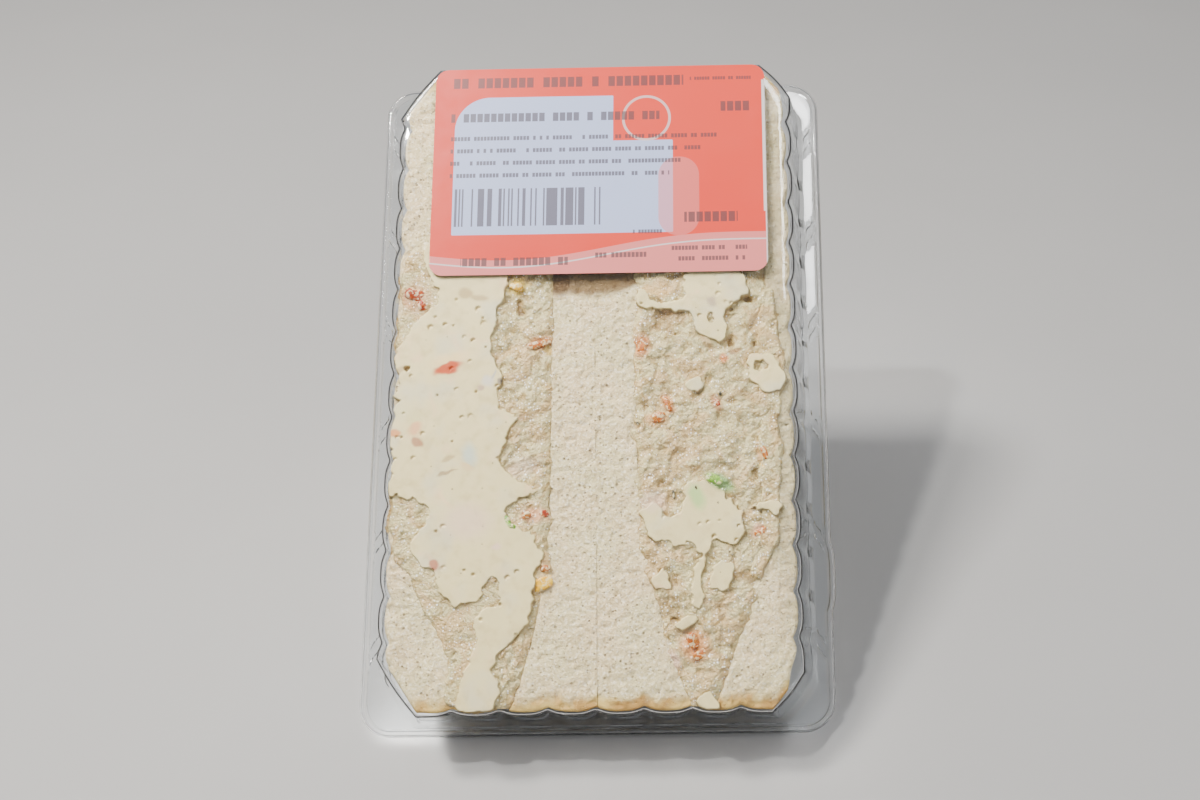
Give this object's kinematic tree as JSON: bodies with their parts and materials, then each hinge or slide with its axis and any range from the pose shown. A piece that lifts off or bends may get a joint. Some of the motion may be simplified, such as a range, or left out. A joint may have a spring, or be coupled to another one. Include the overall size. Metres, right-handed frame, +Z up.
{
  "type": "packed chicken salad sandwich",
  "caption": "Diagonal half sandwiches with creamy chicken salad in a shut, clear wedge pack, cut faces to its fluted window, with a paper label.",
  "frame": {"origin": "centre of the bounding box in plan, at the level of the surface the pack stands on", "axes": "+Z up; -Y is the front, which the sloping window faces; +X runs across the window, to the right as seen from the front"},
  "size_m": [0.1048, 0.1262, 0.1106],
  "materials": {
    "clear_lid": "clear thin formed plastic, glossy, with fluted sides",
    "clear_tray": "clear thin formed plastic, glossy",
    "label_paper": "semi-gloss printed paper in orange, pale lavender and pink fields",
    "bread_crumb": "soft white bread crumb with fine pores and a thin golden crust",
    "chicken_salad": "moist shredded chicken in cream dressing with small bits of pepper"
  },
  "bodies": {
    "root": {"lid": "clear_lid", "tray": "clear_tray", "label": "label_paper", "slice_outer_left": "bread_crumb", "slice_inner_left": "bread_crumb", "slice_inner_right": "bread_crumb", "slice_outer_right": "bread_crumb", "filling_left": "chicken_salad", "filling_right": "chicken_salad"}
  },
  "joints": []
}
